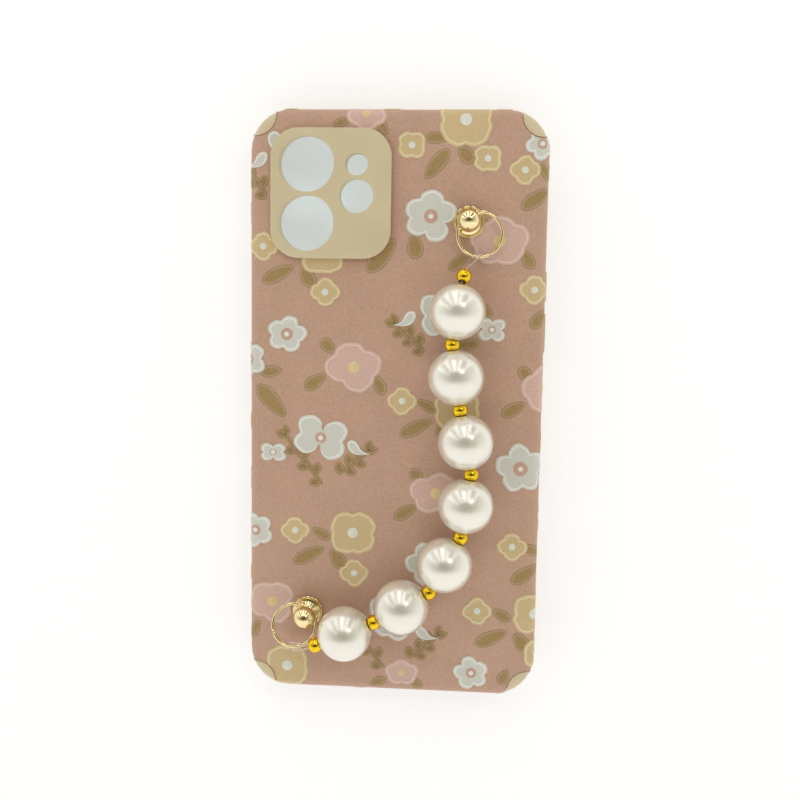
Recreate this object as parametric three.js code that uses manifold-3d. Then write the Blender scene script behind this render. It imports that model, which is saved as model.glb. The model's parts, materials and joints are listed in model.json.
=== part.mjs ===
// Phone case with a pearl wrist strand: a moulded bumper wrapped in printed leather, a raised camera
// plate, three push buttons, and a strand of pearls and gold beads held by two rings on ball studs.
// Millimetres. The case lies on its open side: z = 0 is the front rim, +Z comes out of the back,
// +Y is the camera end, and the origin is the middle of the footprint.
import * as THREE from 'three';
import { mergeVertices } from 'three/addons/utils/BufferGeometryUtils.js';
import Module from 'manifold-3d';

const wasm = await Module();
wasm.setup();

// ---- Driving dimensions ----
const GLUE = 0.15; // adhesive film, and the gap round anything set into the case

const CASE_WIDTH = 75.4;
const CASE_LENGTH = 151;
const CASE_HEIGHT = 11.4;
const CORNER_RADIUS = 10.4;
const BACK_EDGE = 2.2; // rounding where the back turns into the sides
const FRONT_EDGE = 0.6;
const RIM_HEIGHT = 1.45; // bare moulded band below the leather

const LEATHER = 0.8;
const NOTCH_RADIUS = 5.4; // round relief cut in the leather at each corner
const NOTCH_INSET = 1.6; // its centre, in from the sharp corner of the outline

const PHONE_SPACE = { width: 71.8, length: 147.4, radius: 8.8, low: 1.3, high: 9.1, edge: 0.8 };
const LIP = 1.2; // how far the front lip reaches over the phone

const PLATE = { x: -16.8, y: 54.3, width: 30.6, length: 32.4, radius: 7.2, top: 12.9, edge: 0.45 };
const PLATE_STEM_INSET = 1; // the part of the plate that sits in the case's window
const CAMERA_HOLES = [
  { x: -23, y: 61.7, radius: 7 }, // upper lens
  { x: -23, y: 46.95, radius: 7 }, // lower lens
  { x: -10.3, y: 53.8, radius: 4.3 }, // flash
  { x: -10.3, y: 61.6, radius: 2.8 }, // microphone
];

const SIDE_OPENING_Z = 5.2; // middle of the phone's edge
const BUTTONS = [
  { name: 'volume_up_button', side: 1, y: 31.9, length: 7.6 },
  { name: 'volume_down_button', side: 1, y: 19.9, length: 10.2 },
  { name: 'power_button', side: -1, y: 26, length: 11 },
];
const BUTTON_HEIGHT = 2.8;
const BUTTON_PROUD = 0.5;
const BUTTON_FLANGE = { margin: 0.6, thickness: 0.3, pocket: 0.45 };
const WALL = PHONE_SPACE.width / 2; // inner face of the side walls
const MUTE_SLOT = { y: 45.5, length: 7.6, height: 4.2 };
const PORT_SLOT = { x: 0, length: 13, height: 5.6 };
const SPEAKER_SLOTS = [
  { x: -19, length: 13, height: 2.4 },
  { x: 19, length: 13, height: 2.4 },
];

const STUD = {
  base: 4, // base disc radius
  baseFoot: 3.75, // its radius where it lies on the leather
  rim: 0.5, // height of the disc's edge
  bead: 0.65, // height of the raised bead just inside the edge
  beadInset: 0.3,
  dishInset: 0.9, // where the dish starts to rise towards the neck
  cone: 1.65, // height of the cone's top, where the neck starts
  neck: 0.75, // neck radius
  neckFillet: 0.35,
  ball: 2.85, // ball radius
  ballHeight: 5.45, // ball centre above the underside of the base
  post: 1.8, // post radius, through the leather and the shell
  bore: 0.95,
  boreTop: 1.15, // height of the bore's blind end
};
const SCREW_SEAT = 0.7; // depth of the recess for the screw's head
// Each stud's ring lies off to one side of its neck. Its height is that of the wire behind the neck;
// rise is how many degrees its far end is tipped up, and joint where the two ends of its wire meet.
const STUDS = [
  {
    name: 'upper', x: 18.1, y: 47.7,
    ring: { toward: [0.65, -0.76], offset: 4.2, height: 13.85, rise: -4.6, joint: 2.94 },
  },
  {
    name: 'lower', x: -22.1, y: -54.3,
    ring: { toward: [-0.72, -0.69], offset: 4.07, height: 13.65, rise: 15, joint: 2.66 },
  },
];
const SCREW = {
  head: 3.2,
  headHeight: 0.55,
  headEdge: 0.15,
  above: 0.1, // gap between the head and the phone's back
  shank: 0.8,
  length: 3.2,
  slotLength: 4.2, // the driver's cross
  slotWidth: 0.7,
  slotDepth: 0.3,
};

const RING = { radius: 5.575, wire: 0.425, gap: 0.3 };

const PEARL_RADIUS = 7;
const PEARL_BORE = 1.5; // bore radius
const BEAD_RADIUS = 1.95;
const BEAD_BORE = 0.9;
const CORD_DIAMETER = 0.5;
const STRAND_Z = CASE_HEIGHT + PEARL_RADIUS + GLUE; // the pearls lie on the leather
// One link is a pearl and the half beads at its ends. A link's heading is its turn from -Y to +X.
const LINK = 16.4;
const FIRST_LINK_END = [14.7, 17.2];
const LINK_HEADINGS = [-7.5, 8, 11, -8, -28, -59, -66];
const FIRST_BEAD = { at: [17.15, 34.05, 17.2], along: [0.262, 0.825, -0.5] };
const LAST_BEAD_DIP = 15; // how far the last bead's bore points down, in degrees

// The cord: from its tail in the first pearl round the upper ring, through every bead, round the
// lower ring and back into the last pearl.
const CORD_ROUTE = [
  [16, 28.2, 18.05], [16.6, 32.3, 17.85], [17.1, 33.9, 16.9], [17.6, 35.45, 16],
  [19.05, 37, 13.7], [20.2, 38.35, 12.2], [20.65, 38.95, 11.95], [21.1, 39.65, 12.3],
  [21.3, 39.9, 13.1], [21.1, 39.65, 13.95], [20.6, 38.95, 14.4], [19.1, 37.25, 15.45],
  [17.7, 35.75, 16.55], [17.2, 34.2, 17.5], [16.7, 32.65, 18.4], [15.75, 25.35, 18.55],
  [14.7, 17.2, 18.55], [15.85, 9.1, 18.55], [17, 0.95, 18.55], [18.55, -7.1, 18.55],
  [20.1, -15.15, 18.55], [18.95, -23.25, 18.55], [17.85, -31.4, 18.55], [14, -38.6, 18.55],
  [10.15, -45.85, 18.55], [3.1, -50.1, 18.55], [-3.95, -54.3, 18.55], [-11.4, -57.65, 18.55],
  [-17.2, -59.85, 18.75], [-19.05, -60.65, 18.55], [-20.75, -61.4, 18.05], [-22.9, -61.35, 17.5],
  [-24.5, -61.45, 16.85], [-25.5, -61.65, 15.95], [-25.95, -62.1, 15.35], [-26.05, -62.75, 15.15],
  [-25.85, -63.4, 15.5], [-25.2, -63.65, 16.2], [-22.4, -62.8, 17.45], [-20.45, -62.05, 18.05],
  [-18.8, -61.3, 18.5], [-17.3, -60.7, 18.7], [-14.3, -59.3, 18.7],
];

// ---- Materials ----
const CREAM = 0xe2d5b4;
const LEATHER_PINK = 0xbe9888;
const PALE_GOLD = 0xe3c48a;
const YELLOW_GOLD = 0xe0b020;
const PEARL_WHITE = 0xe9e5da;
const CORD_CLEAR = 0xe8e4dc;

const finish = (color, roughness, metalness = 0) =>
  new THREE.MeshStandardMaterial({ color, roughness, metalness });

const group = new THREE.Group();

function place(name, geometry, material) {
  const mesh = new THREE.Mesh(geometry, material);
  mesh.name = name;
  group.add(mesh);
  return mesh;
}

// ---- Solids ----
function toSolid(geometry) {
  const bare = geometry.clone();
  bare.deleteAttribute('normal');
  bare.deleteAttribute('uv');
  const merged = mergeVertices(bare, 1e-4);
  return new wasm.Manifold(new wasm.Mesh({
    numProp: 3,
    vertProperties: new Float32Array(merged.attributes.position.array),
    triVerts: new Uint32Array(merged.index.array),
  }));
}

function toGeometry(solid) {
  const mesh = solid.getMesh();
  const geometry = new THREE.BufferGeometry();
  geometry.setAttribute('position', new THREE.BufferAttribute(mesh.vertProperties, 3));
  geometry.setIndex(new THREE.BufferAttribute(mesh.triVerts, 1));
  geometry.computeVertexNormals();
  return geometry;
}

const join = solids => solids.reduce((whole, solid) => whole.add(solid));
const cut = (solid, tools) => tools.reduce((rest, tool) => rest.subtract(tool), solid);

function roundedOutline(width, length, radius) {
  const x = width / 2 - radius;
  const y = length / 2 - radius;
  const outline = new THREE.Shape();
  outline.absarc(x, y, radius, 0, Math.PI / 2);
  outline.absarc(-x, y, radius, Math.PI / 2, Math.PI);
  outline.absarc(-x, -y, radius, Math.PI, 1.5 * Math.PI);
  outline.absarc(x, -y, radius, 1.5 * Math.PI, 2 * Math.PI);
  return outline;
}

// A block with a rounded-rectangle outline between two heights, both ends' edges rounded by edge.
function block({ width, length, radius, low, high, edge = 0, x = 0, y = 0, turns = 4 }) {
  const geometry = new THREE.ExtrudeGeometry(roundedOutline(width, length, radius), {
    depth: high - low - 2 * edge,
    curveSegments: turns,
    bevelEnabled: edge > 0,
    bevelThickness: edge,
    bevelSize: edge,
    bevelOffset: -edge,
    bevelSegments: 3,
  });
  return toSolid(geometry.translate(x, y, low + edge));
}

function upright(radius, low, high, x, y, sides = 32) {
  const geometry = new THREE.CylinderGeometry(radius, radius, high - low, sides);
  return toSolid(geometry.rotateX(Math.PI / 2).translate(x, y, (low + high) / 2));
}

// A round-ended slot lying along Y at a side wall (or along X at an end wall), from near to far.
function slot(length, height, near, far, along, z = SIDE_OPENING_Z) {
  const outline = roundedOutline(length, height, height / 2 - 0.01);
  const geometry = new THREE.ExtrudeGeometry(outline, {
    depth: far - near,
    bevelEnabled: false,
    curveSegments: 3,
  });
  geometry.translate(0, 0, near);
  // Depth runs along -Y for an end wall and +X for a side wall.
  geometry.rotateX(Math.PI / 2);
  if (along === 'y') geometry.rotateZ(Math.PI / 2);
  return toSolid(geometry.translate(0, 0, z));
}

const sideSlot = (y, length, height, near, far, side) => {
  const solid = slot(length, height, near, far, 'y');
  return (side > 0 ? solid : solid.mirror([1, 0, 0])).translate([0, y, 0]);
};

// ---- The case ----
const FAR = 40; // long enough to pass through everything
const PAST = 1; // how far a cutting tool starts before the surface it cuts
const FUSE = 0.3; // how far two joined solids run into each other
const WALL_CUT = { from: 4, to: 3 }; // a wall opening's tool, in and out from the outside face

function caseOutside() {
  const size = { width: CASE_WIDTH, length: CASE_LENGTH, radius: CORNER_RADIUS };
  const back = block({ ...size, low: -FAR, high: CASE_HEIGHT, edge: BACK_EDGE });
  const front = block({ ...size, low: 0, high: FAR, edge: FRONT_EDGE });
  return back.intersect(front);
}

// The moulding under the leather, drawn in by inset on every side.
const core = inset => block({
  width: CASE_WIDTH - 2 * inset,
  length: CASE_LENGTH - 2 * inset,
  radius: CORNER_RADIUS - inset,
  low: -FAR,
  high: CASE_HEIGHT - inset,
  edge: BACK_EDGE - inset,
});

function cornerPosts(radius) {
  const x = CASE_WIDTH / 2 - NOTCH_INSET;
  const y = CASE_LENGTH / 2 - NOTCH_INSET;
  const corners = [[x, y], [-x, y], [-x, -y], [x, -y]];
  return join(corners.map(([px, py]) => upright(radius, -PAST, FAR, px, py, 40)));
}

const slab = (low, high) => block({ width: 200, length: 200, radius: 1, low, high, turns: 2 });

const plateWindow = margin => block({
  ...PLATE,
  width: PLATE.width - 2 * PLATE_STEM_INSET + 2 * margin,
  length: PLATE.length - 2 * PLATE_STEM_INSET + 2 * margin,
  radius: PLATE.radius - PLATE_STEM_INSET + margin,
  low: PHONE_SPACE.high - PAST,
  high: FAR,
  edge: 0,
});

function wallOpenings() {
  const near = CASE_WIDTH / 2 - WALL_CUT.from;
  const far = CASE_WIDTH / 2 + WALL_CUT.to;
  const openings = BUTTONS.map(({ y, length, side }) =>
    sideSlot(y, length + 2 * GLUE, BUTTON_HEIGHT + 2 * GLUE, near, far, side));
  openings.push(sideSlot(MUTE_SLOT.y, MUTE_SLOT.length, MUTE_SLOT.height, near, far, 1));
  for (const { x, length, height } of [PORT_SLOT, ...SPEAKER_SLOTS]) {
    const wall = CASE_LENGTH / 2;
    const end = slot(length, height, wall - WALL_CUT.from, wall + WALL_CUT.to, 'x');
    openings.push(end.translate([x, 0, 0]));
  }
  return openings;
}

const studHoles = () => STUDS.map(({ x, y }) => upright(STUD.post + GLUE, 0, FAR, x, y, 24));

function bumperShell() {
  const proud = caseOutside().intersect(cornerPosts(NOTCH_RADIUS - GLUE).add(slab(-PAST, RIM_HEIGHT)));
  const moulding = core(LEATHER + GLUE).intersect(slab(FRONT_EDGE, FAR)).add(proud);
  const space = block(PHONE_SPACE);
  const mouth = block({
    ...PHONE_SPACE,
    width: PHONE_SPACE.width - 2 * LIP,
    length: PHONE_SPACE.length - 2 * LIP,
    radius: PHONE_SPACE.radius - LIP,
    low: -PAST,
    high: PHONE_SPACE.low + PAST,
    edge: 0,
  });
  const pockets = BUTTONS.map(({ y, length, side }) => sideSlot(
    y,
    length + 2 * (BUTTON_FLANGE.margin + GLUE),
    BUTTON_HEIGHT + 2 * (BUTTON_FLANGE.margin + GLUE),
    WALL - PAST,
    WALL + BUTTON_FLANGE.pocket,
    side,
  ));
  const screwSeats = STUDS.map(({ x, y }) =>
    upright(SCREW.head + GLUE, PHONE_SPACE.high - PAST, PHONE_SPACE.high + SCREW_SEAT, x, y, 24));
  return cut(moulding, [
    space, mouth, plateWindow(GLUE), ...wallOpenings(), ...pockets, ...studHoles(), ...screwSeats,
  ]);
}

function leatherCover() {
  return cut(caseOutside(), [
    core(LEATHER),
    cornerPosts(NOTCH_RADIUS),
    slab(-PAST, RIM_HEIGHT + GLUE),
    plateWindow(GLUE),
    ...wallOpenings(),
    ...studHoles(),
  ]);
}

function cameraPlate() {
  const flange = block({ ...PLATE, low: CASE_HEIGHT + GLUE - PLATE.edge, high: PLATE.top })
    .intersect(slab(CASE_HEIGHT + GLUE, FAR));
  const stem = plateWindow(0).intersect(slab(PHONE_SPACE.high, CASE_HEIGHT + GLUE + FUSE));
  const holes = CAMERA_HOLES.map(({ x, y, radius }) => upright(radius, 0, FAR, x, y, 36));
  return cut(flange.add(stem), holes);
}

place('bumper_shell', toGeometry(bumperShell()), finish(CREAM, 0.5));
place('leather_cover', toGeometry(leatherCover()), finish(LEATHER_PINK, 0.6));
place('camera_plate', toGeometry(cameraPlate()), finish(CREAM, 0.45));

// ---- Buttons: a cap through the wall and a flange that keeps it in from the inside ----
for (const { name, side, y, length } of BUTTONS) {
  const inside = WALL + BUTTON_FLANGE.thickness / 2;
  const cap = sideSlot(y, length, BUTTON_HEIGHT, inside, CASE_WIDTH / 2 + BUTTON_PROUD, side);
  const flange = sideSlot(
    y,
    length + 2 * BUTTON_FLANGE.margin,
    BUTTON_HEIGHT + 2 * BUTTON_FLANGE.margin,
    WALL,
    WALL + BUTTON_FLANGE.thickness,
    side,
  );
  place(name, toGeometry(cap.add(flange)), finish(CREAM, 0.5));
}

// ---- Ball studs and their back screws ----
const lathe = (profile, sides) => new THREE.LatheGeometry(
  profile.map(([r, z]) => new THREE.Vector2(r, z)), sides,
).rotateX(Math.PI / 2);

function arcProfile(radius, from, to, steps, centre = 0) {
  return Array.from({ length: steps + 1 }, (_, i) => {
    const angle = from + (to - from) * i / steps;
    return [radius * Math.cos(angle), centre + radius * Math.sin(angle)];
  });
}

function studProfile() {
  const { base, rim, bead, cone, neck, neckFillet, ball, ballHeight, post, bore, boreTop } = STUD;
  const postEnd = PHONE_SPACE.high + SCREW_SEAT + 0.1 - (CASE_HEIGHT + GLUE);
  const ballStart = -Math.acos(neck / ball);
  const round = arcProfile(ball, ballStart, Math.PI / 2, 8, ballHeight);
  return [
    [0, boreTop], [bore, boreTop], [bore, postEnd], [post, postEnd],
    [post, 0], [STUD.baseFoot, 0], [base, base - STUD.baseFoot], [base, rim],
    [base - STUD.beadInset, bead], [base - STUD.dishInset, bead],
    [neck + neckFillet, cone - neckFillet / 2], [neck, cone],
    ...round.slice(0, -1), [0, ballHeight + ball],
  ];
}

function screwSolid() {
  const { head, headHeight, headEdge, shank, length, slotLength, slotWidth, slotDepth } = SCREW;
  const profile = [
    [0, 0], [head - headEdge, 0], [head, headEdge], [head, headHeight],
    [shank, headHeight], [shank, length], [0, length],
  ];
  const bar = angle => toSolid(
    new THREE.BoxGeometry(slotLength, slotWidth, 2 * slotDepth).rotateZ(angle),
  );
  return cut(toSolid(lathe(profile, 20)), [bar(0), bar(Math.PI / 2)]);
}

for (const { name, x, y } of STUDS) {
  const stud = place(`stud_${name}`, lathe(studProfile(), 20), finish(PALE_GOLD, 0.15, 1));
  stud.position.set(x, y, CASE_HEIGHT + GLUE);
  const screw = place(`back_screw_${name}`, toGeometry(screwSolid()), finish(PALE_GOLD, 0.3, 1));
  screw.position.set(x, y, PHONE_SPACE.high + SCREW.above);
}

// ---- Rings: round wire with a butt joint, passed round each stud's neck ----
function openRing() {
  const turn = 2 * Math.PI - RING.gap / RING.radius;
  class Hoop extends THREE.Curve {
    getPoint(t, target = new THREE.Vector3()) {
      const angle = turn * (t - 0.5);
      return target.set(RING.radius * Math.cos(angle), RING.radius * Math.sin(angle), 0);
    }
  }
  const section = new THREE.Shape().absarc(0, 0, RING.wire, 0, 2 * Math.PI);
  return new THREE.ExtrudeGeometry(section, {
    steps: 36,
    curveSegments: 4,
    extrudePath: new Hoop(),
  });
}

for (const { name, x, y, ring } of STUDS) {
  const rise = THREE.MathUtils.degToRad(ring.rise);
  const toward = new THREE.Vector3(...ring.toward, 0).normalize();
  const across = new THREE.Vector3(-toward.y, toward.x, 0);
  const farEnd = toward.clone().multiplyScalar(Math.cos(rise)).setZ(Math.sin(rise));
  const wire = place(`ring_${name}`, openRing(), finish(PALE_GOLD, 0.15, 1));
  wire.setRotationFromMatrix(
    new THREE.Matrix4().makeBasis(farEnd, across, new THREE.Vector3().crossVectors(farEnd, across)),
  );
  wire.rotateZ(ring.joint);
  wire.position.set(x, y, ring.height + RING.radius * Math.sin(rise));
  wire.position.addScaledVector(toward, ring.offset);
}

// ---- The strand ----
const heading = degrees => {
  const angle = THREE.MathUtils.degToRad(degrees);
  return new THREE.Vector3(Math.sin(angle), -Math.cos(angle), 0);
};

function drilledBall(radius, bore, sides, rings) {
  const mouth = Math.acos(bore / radius);
  const profile = arcProfile(radius, -mouth, mouth, rings);
  return lathe([...profile, profile[0]], sides);
}

function string(name, geometry, material, centre, along) {
  const bead = place(name, geometry, material);
  bead.quaternion.setFromUnitVectors(new THREE.Vector3(0, 0, 1), along.clone().normalize());
  bead.position.copy(centre);
}

const pearlShape = drilledBall(PEARL_RADIUS, PEARL_BORE, 20, 9);
const beadShape = drilledBall(BEAD_RADIUS, BEAD_BORE, 12, 6);
const addPearl = (index, centre, along) =>
  string(`pearl_${index}`, pearlShape, finish(PEARL_WHITE, 0.25), centre, along);
const addBead = (index, centre, along) =>
  string(`gold_bead_${index}`, beadShape, finish(YELLOW_GOLD, 0.12, 1), centre, along);

const directions = LINK_HEADINGS.map(heading);
const joint = new THREE.Vector3(...FIRST_LINK_END, STRAND_Z);
addBead(1, new THREE.Vector3(...FIRST_BEAD.at), new THREE.Vector3(...FIRST_BEAD.along));
addPearl(1, joint.clone().addScaledVector(directions[0], -LINK / 2), directions[0]);
for (let i = 1; i < directions.length; i += 1) {
  addBead(i + 1, joint, directions[i - 1].clone().add(directions[i]));
  addPearl(i + 1, joint.clone().addScaledVector(directions[i], LINK / 2), directions[i]);
  joint.addScaledVector(directions[i], LINK);
}
const lastAlong = directions.at(-1).clone().setZ(-Math.tan(THREE.MathUtils.degToRad(LAST_BEAD_DIP)));
addBead(directions.length + 1, joint, lastAlong);

// ---- The clear cord ----
// Its sections follow the route's points, so they lie closer together where it bends round a ring.
class CordPath extends THREE.CatmullRomCurve3 {
  getUtoTmapping(u) {
    return u;
  }
}

function cordGeometry() {
  const path = new CordPath(CORD_ROUTE.map(point => new THREE.Vector3(...point)));
  const section = new THREE.Shape().absarc(0, 0, CORD_DIAMETER / 2, 0, 2 * Math.PI);
  return new THREE.ExtrudeGeometry(section, {
    steps: 2 * (CORD_ROUTE.length - 1),
    curveSegments: 4,
    extrudePath: path,
  });
}

place('elastic_cord', cordGeometry(), finish(CORD_CLEAR, 0.2));

export default group;
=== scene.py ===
"""A phone case with a pearl strand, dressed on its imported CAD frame.

The leather gets its printed and embossed flowers as thin draped relief, and the pearls, beads, studs,
rings and cord are turned and swept anew. Blender works in metres; the pattern is laid out in
millimetres on the flat leather and wrapped over the case by drape().
"""

import json
import math
import random

import bmesh
import bpy
from mathutils import Euler, Matrix, Vector


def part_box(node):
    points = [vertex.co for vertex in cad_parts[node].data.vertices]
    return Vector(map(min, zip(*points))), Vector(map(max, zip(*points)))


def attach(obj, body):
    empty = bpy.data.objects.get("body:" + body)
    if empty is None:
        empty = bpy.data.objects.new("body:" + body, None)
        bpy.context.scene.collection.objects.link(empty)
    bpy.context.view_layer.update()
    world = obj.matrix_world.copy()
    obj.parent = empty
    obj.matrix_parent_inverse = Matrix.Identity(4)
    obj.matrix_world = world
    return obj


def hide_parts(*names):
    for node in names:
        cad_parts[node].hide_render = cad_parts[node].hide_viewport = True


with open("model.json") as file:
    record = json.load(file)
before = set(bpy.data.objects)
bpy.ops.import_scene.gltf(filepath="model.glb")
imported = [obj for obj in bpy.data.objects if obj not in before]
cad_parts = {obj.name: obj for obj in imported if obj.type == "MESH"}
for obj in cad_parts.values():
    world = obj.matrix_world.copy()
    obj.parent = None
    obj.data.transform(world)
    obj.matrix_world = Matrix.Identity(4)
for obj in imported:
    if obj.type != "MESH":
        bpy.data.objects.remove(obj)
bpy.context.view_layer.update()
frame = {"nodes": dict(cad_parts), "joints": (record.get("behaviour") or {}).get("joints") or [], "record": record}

MM = 0.001
CASE_BODY = "case"
STRAND_BODY = "strand"


def corners(node):
    """The node's lowest and highest corner, in millimetres."""
    low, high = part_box(node)
    return Vector(low) / MM, Vector(high) / MM


def middle(node):
    low, high = corners(node)
    return (low + high) / 2


# ---- Camera ----
CAMERA_PLACE = (20.05, 31.6, 260)  # mm
CAMERA_TURN = (-6.11, 4.14, 0.94)  # degrees
LENS_PER_WIDTH = 1.2216
CAMERA_SHIFT = (-0.0053, -0.0109)  # of the picture's width
SENSOR_WIDTH = 36  # mm
NEAR_CLIP = 0.01  # metres


def make_camera():
    data = bpy.data.cameras.new("camera")
    data.sensor_width = SENSOR_WIDTH
    data.lens = LENS_PER_WIDTH * data.sensor_width
    data.shift_x, data.shift_y = CAMERA_SHIFT
    data.clip_start = NEAR_CLIP
    camera = bpy.data.objects.new("camera", data)
    camera.location = Vector(CAMERA_PLACE) * MM
    camera.rotation_euler = Euler([math.radians(turn) for turn in CAMERA_TURN])
    bpy.context.collection.objects.link(camera)
    bpy.context.scene.camera = camera


make_camera()


# ---- Materials ----
def new_material(name, colour, roughness, **sockets):
    """A Principled material. Further sockets are named in words, such as coat_weight=0.5."""
    material = bpy.data.materials.new(name)
    material.use_nodes = True
    shader = material.node_tree.nodes["Principled BSDF"]
    shader.inputs["Base Color"].default_value = (*colour, 1)
    shader.inputs["Roughness"].default_value = roughness
    for words, value in sockets.items():
        shader.inputs[words.replace("_", " ").title().replace("Ior", "IOR")].default_value = value
    return material


def add_node(material, kind, **settings):
    node = material.node_tree.nodes.new(kind)
    for key, value in settings.items():
        if key in node.inputs:
            node.inputs[key].default_value = value
        else:
            setattr(node, key, value)
    return node


def link(material, output, target):
    material.node_tree.links.new(output, target)


def noise(material, size, detail=3, kind="ShaderNodeTexNoise"):
    """A noise whose features are about size millimetres across, in the object's own space."""
    place = add_node(material, "ShaderNodeTexCoord")
    texture = add_node(material, kind, Scale=1 / (size * MM))
    if kind == "ShaderNodeTexNoise":
        texture.inputs["Detail"].default_value = detail
    link(material, place.outputs["Object"], texture.inputs["Vector"])
    return texture


RAMP_STOPS = (0.32, 0.68)  # where a noise's low and high colours are reached


def vary_colour(material, texture, low, high):
    """Blends the base colour between low and high by the texture."""
    ramp = add_node(material, "ShaderNodeValToRGB")
    for stop, position, colour in zip(ramp.color_ramp.elements, RAMP_STOPS, (low, high)):
        stop.position = position
        stop.color = (*colour, 1)
    link(material, texture.outputs[0], ramp.inputs["Fac"])
    shader = material.node_tree.nodes["Principled BSDF"]
    link(material, ramp.outputs["Color"], shader.inputs["Base Color"])
    return ramp


def vary_roughness(material, texture, low, high):
    spread = add_node(material, "ShaderNodeMapRange")
    spread.inputs["To Min"].default_value = low
    spread.inputs["To Max"].default_value = high
    link(material, texture.outputs[0], spread.inputs["Value"])
    shader = material.node_tree.nodes["Principled BSDF"]
    link(material, spread.outputs["Result"], shader.inputs["Roughness"])


def bump(material, texture, height, strength=1.0, under=None):
    """Raises the surface by up to height millimetres, on top of an earlier bump."""
    node = add_node(material, "ShaderNodeBump", Strength=strength, Distance=height * MM)
    link(material, texture.outputs[0], node.inputs["Height"])
    if under:
        link(material, under.outputs["Normal"], node.inputs["Normal"])
    shader = material.node_tree.nodes["Principled BSDF"]
    link(material, node.outputs["Normal"], shader.inputs["Normal"])
    return node


def shade(colour, factor):
    return tuple(min(channel * factor, 1) for channel in colour)


def leather(name, colour, roughness=0.55, mottle=0.03):
    """Fine pebbled leather with a broad faint mottle and a fine speckle."""
    material = new_material(name, colour, roughness, specular_ior_level=0.35, sheen_weight=0.05)
    fine = noise(material, 0.32, detail=2)
    broad = noise(material, 9, detail=4)
    ramp = vary_colour(material, broad, shade(colour, 1 - mottle), shade(colour, 1 + mottle))
    speckle = add_node(material, "ShaderNodeMix", data_type="RGBA", blend_type="SOFT_LIGHT")
    speckle.inputs["Factor"].default_value = 0.5
    link(material, ramp.outputs["Color"], speckle.inputs["A"])
    link(material, fine.outputs["Fac"], speckle.inputs["B"])
    shader = material.node_tree.nodes["Principled BSDF"]
    link(material, speckle.outputs["Result"], shader.inputs["Base Color"])
    vary_roughness(material, fine, roughness - 0.08, roughness + 0.1)
    pebble = noise(material, 0.45, kind="ShaderNodeTexVoronoi")
    grain = bump(material, pebble, 0.03, 0.5)
    bump(material, fine, 0.02, 0.5, under=grain)
    return material


def moulded(name, colour, roughness):
    """Satin moulded plastic: a fine spark-eroded texture and a faint flow tint."""
    material = new_material(name, colour, roughness, coat_weight=0.08, coat_roughness=0.3)
    tint = noise(material, 14, detail=2)
    vary_colour(material, tint, shade(colour, 0.96), shade(colour, 1.03))
    texture = noise(material, 0.12, detail=2)
    vary_roughness(material, texture, roughness - 0.06, roughness + 0.08)
    bump(material, texture, 0.006, 0.5)
    return material


def gold(name, colour, roughness):
    """Polished plate with a slight tone shift and fine handling marks."""
    material = new_material(name, colour, roughness, metallic=1)
    tone = noise(material, 1.5, detail=2)
    vary_colour(material, tone, shade(colour, 0.94), shade(colour, 1.04))
    marks = noise(material, 0.5, detail=4)
    vary_roughness(material, marks, roughness * 0.7, roughness * 1.4)
    bump(material, marks, 0.0003, 0.05)
    return material


def pearl(name, colour):
    """Pearl lacquer: soft half-metallic nacre under a bright smooth skin, with cloudy patches."""
    material = new_material(
        name, colour, 0.3, metallic=0.5, coat_weight=1, coat_roughness=0.13, coat_ior=1.9,
    )
    cloud = noise(material, 4, detail=3)
    vary_colour(material, cloud, shade(colour, 0.97), shade(colour, 1.03))
    nacre = noise(material, 1.2, detail=4)
    vary_roughness(material, nacre, 0.28, 0.33)
    bump(material, nacre, 0.001, 0.1)
    return material


def clear(name):
    """Clear elastic, faintly cloudy."""
    material = new_material(name, (0.96, 0.94, 0.9), 0.12, ior=1.45, transmission_weight=0.85)
    cloud = noise(material, 0.6, detail=2)
    vary_roughness(material, cloud, 0.06, 0.2)
    bump(material, cloud, 0.01, 0.3)
    return material


LEATHER_PINK = (0.565, 0.35, 0.25)
CREAM = (0.68, 0.57, 0.36)
PRINT_COLOURS = {  # margin, raised line and fill of each printed colour; each raised line is lighter than its fill: a painted highlight
    "white": ((0.72, 0.70, 0.61), (0.86, 0.85, 0.78), (0.68, 0.67, 0.59)),
    "yellow": ((0.69, 0.53, 0.29), (0.80, 0.67, 0.39), (0.65, 0.49, 0.26)),
    "pink": ((0.70, 0.47, 0.39), (0.80, 0.59, 0.51), (0.70, 0.465, 0.385)),
    "leaf": ((0.375, 0.255, 0.135), (0.46, 0.325, 0.175), (0.39, 0.25, 0.10)),
    "twig": ((0.34, 0.225, 0.10), (0.44, 0.30, 0.15), (0.33, 0.21, 0.085)),
}
CENTRE_COLOURS = {
    "white": (0.60, 0.385, 0.285),
    "yellow": (0.78, 0.78, 0.68),
    "pink": (0.76, 0.61, 0.31),
}

leather_pink = leather("leather_pink", LEATHER_PINK)
cream = moulded("moulded_cream", CREAM, 0.42)
pale_gold = gold("pale_gold", (0.89, 0.74, 0.41), 0.1)
yellow_gold = gold("yellow_gold", (0.88, 0.58, 0.03), 0.09)
pearl_white = pearl("pearl_white", (0.88, 0.84, 0.73))
clear_elastic = clear("clear_elastic")


# ---- Making pieces ----
def add_piece(name, mesh, materials, body, nodes=()):
    """Links a mesh as a named piece that rides on a body and stands for its CAD nodes, if any."""
    for material in materials:
        mesh.materials.append(material)
    piece = bpy.data.objects.new(name, mesh)
    bpy.context.collection.objects.link(piece)
    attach(piece, body)
    if nodes:
        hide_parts(*nodes)
    return piece


def smooth(mesh, sharp_degrees=40):
    mesh.shade_smooth()
    mesh.set_sharp_from_angle(angle=math.radians(sharp_degrees))


def mesh_from(name, points, faces):
    mesh = bpy.data.meshes.new(name)
    mesh.from_pydata([tuple(point) for point in points], [], faces)
    mesh.update()
    return mesh


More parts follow.
